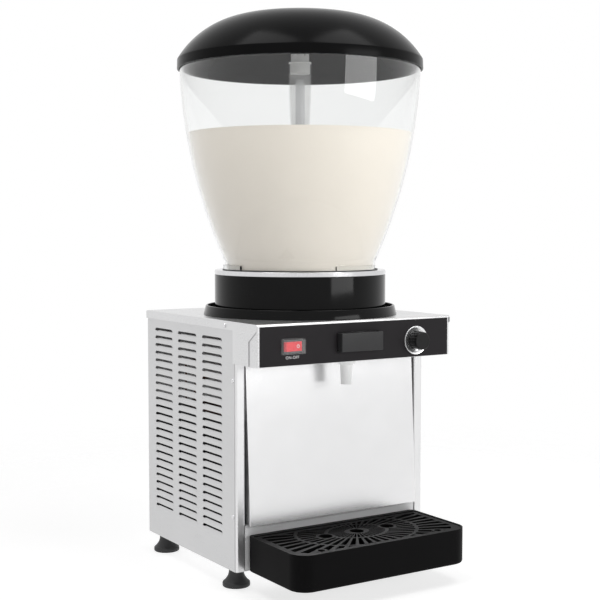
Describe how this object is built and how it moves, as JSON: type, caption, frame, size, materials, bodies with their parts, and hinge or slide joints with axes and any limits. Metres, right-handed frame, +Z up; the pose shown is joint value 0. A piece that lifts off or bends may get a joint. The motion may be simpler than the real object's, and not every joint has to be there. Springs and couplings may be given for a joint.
{
  "type": "cold drink dispenser",
  "caption": "Counter-top cold drink dispenser: clear cooled bowl with a domed lid on a louvred steel cabinet, push tap over a drip tray.",
  "frame": {"origin": "on the counter, under the middle of the outline; the bowl's axis is 14.5 mm behind it", "axes": "+Z up, -Y towards the user, +X to the right as the user sees it"},
  "size_m": [0.3974, 0.459, 0.8987],
  "materials": {
    "brushed_stainless": "fine brushed grain",
    "mirror_stainless": "polished",
    "bright_steel": "bright drawn or plated",
    "charcoal_panel": "satin coat",
    "gloss_black": "moulded, high gloss",
    "satin_black": "moulded, satin",
    "plain_black": "moulded",
    "clear_bowl": "clear moulded",
    "smoky_sleeve": "translucent moulded",
    "white_plastic": "moulded",
    "red_rocker": "moulded",
    "clear_hood": "soft clear",
    "chrome_dish": "mirror plated",
    "foot_rubber": "matt",
    "seal_rubber": "matt",
    "copper": "drawn tube",
    "black_enamel": "black enamel",
    "zinc_sheet": "zinc coated",
    "foam": "rigid foam"
  },
  "bodies": {
    "cabinet": {"agitator_motor": "black_enamel", "base_pan": "brushed_stainless", "basin_foam": "foam", "bowl_gasket": "seal_rubber", "cable_gland": "plain_black", "capillary_tube": "copper", "compressor": "black_enamel", "compressor_mounts": "seal_rubber", "condensate_gutter": "gloss_black", "condenser": "black_enamel", "control_panel": "charcoal_panel", "discharge_line": "copper", "drum_band": "gloss_black", "evaporator_basin": "brushed_stainless", "evaporator_coil": "copper", "fan_motor": "black_enamel", "fan_pedestal": "zinc_sheet", "fan_shroud": "zinc_sheet", "fasteners": "bright_steel", "filter_drier": "copper", "front_fascia": "brushed_stainless", "front_post_left": "brushed_stainless", "front_post_right": "brushed_stainless", "knob_dish": "chrome_dish", "lower_rail": "brushed_stainless", "motor_bracket": "bright_steel", "outlet_pipe": "white_plastic", "pump_housing": "white_plastic", "rear_panel": "brushed_stainless", "riser_tube": "bright_steel", "side_panel_left": "brushed_stainless", "side_panel_right": "brushed_stainless", "splash_sheet": "mirror_stainless", "spout_collar": "white_plastic", "spray_cap": "smoky_sleeve", "spray_sleeve": "smoky_sleeve", "suction_line": "copper", "switch_body": "plain_black", "switch_hood": "clear_hood", "terminal_box": "plain_black", "thermostat_body": "plain_black", "top_cover": "brushed_stainless", "valve_body": "white_plastic", "valve_cap": "white_plastic", "valve_spring": "bright_steel"},
    "bowl": {"bowl": "clear_bowl"},
    "lid": {"lid": "gloss_black"},
    "push_bar": {"push_block": "satin_black", "valve_stem": "bright_steel"},
    "rocker": {"rocker": "red_rocker"},
    "knob": {"thermostat_knob": "satin_black"},
    "tray": {"drip_tray": "satin_black"},
    "grille": {"tray_grille": "satin_black"},
    "fan": {"fan_blade": "plain_black"},
    "drive": {"drive_magnet": "bright_steel"},
    "impeller": {"pump_impeller": "white_plastic"},
    "foot_front_left": {"foot_front_left": "foot_rubber"},
    "foot_front_right": {"foot_front_right": "foot_rubber"},
    "foot_rear_left": {"foot_rear_left": "foot_rubber"},
    "foot_rear_right": {"foot_rear_right": "foot_rubber"}
  },
  "joints": [
    {"name": "bowl_lift", "type": "slide", "parent": "cabinet", "child": "bowl", "axis": [0, 0, 1], "range_m": [0, 0.385]},
    {"name": "lid_lift", "type": "slide", "parent": "bowl", "child": "lid", "axis": [0, 0, 1], "range_m": [0, 0.12]},
    {"name": "tap_push", "type": "slide", "parent": "cabinet", "child": "push_bar", "axis": [0, 1, 0], "range_m": [0, 0.008], "stiffness_N_per_m": 600, "deforming": ["valve_spring"]},
    {"name": "switch_rock", "type": "hinge", "parent": "cabinet", "child": "rocker", "pos_m": [-0.1195, -0.147, 0.3786], "axis": [0, 0, 1], "range_deg": [-18, 0]},
    {"name": "knob_turn", "type": "hinge", "parent": "cabinet", "child": "knob", "pos_m": [0.1087, -0.151, 0.3766], "axis": [0, 1, 0], "range_deg": [0, 270]},
    {"name": "tray_slide", "type": "slide", "parent": "cabinet", "child": "tray", "axis": [0, -1, 0], "range_m": [0, 0.12]},
    {"name": "grille_lift", "type": "slide", "parent": "tray", "child": "grille", "axis": [0, 0, 1], "range_m": [0, 0.06]},
    {"name": "fan_spin", "type": "hinge", "parent": "cabinet", "child": "fan", "pos_m": [-0.11475, 0.076, 0.1445], "axis": [1, 0, 0], "continuous": true},
    {"name": "drive_spin", "type": "hinge", "parent": "cabinet", "child": "drive", "pos_m": [0, 0.0145, 0.4], "axis": [0, 0, 1], "continuous": true},
    {"name": "impeller_spin", "type": "hinge", "parent": "cabinet", "child": "impeller", "pos_m": [0, 0.0145, 0.43], "axis": [0, 0, 1], "continuous": true},
    {"name": "foot_front_left_turn", "type": "hinge", "parent": "cabinet", "child": "foot_front_left", "pos_m": [-0.15575, -0.0455, 0], "axis": [0, 0, 1], "continuous": true},
    {"name": "foot_front_right_turn", "type": "hinge", "parent": "cabinet", "child": "foot_front_right", "pos_m": [0.15575, -0.0455, 0], "axis": [0, 0, 1], "continuous": true},
    {"name": "foot_rear_left_turn", "type": "hinge", "parent": "cabinet", "child": "foot_rear_left", "pos_m": [-0.15575, 0.196, 0], "axis": [0, 0, 1], "continuous": true},
    {"name": "foot_rear_right_turn", "type": "hinge", "parent": "cabinet", "child": "foot_rear_right", "pos_m": [0.15575, 0.196, 0], "axis": [0, 0, 1], "continuous": true}
  ],
  "couplings": [
    {"joint": "impeller_spin", "follows": "drive_spin", "ratio": 1}
  ]
}
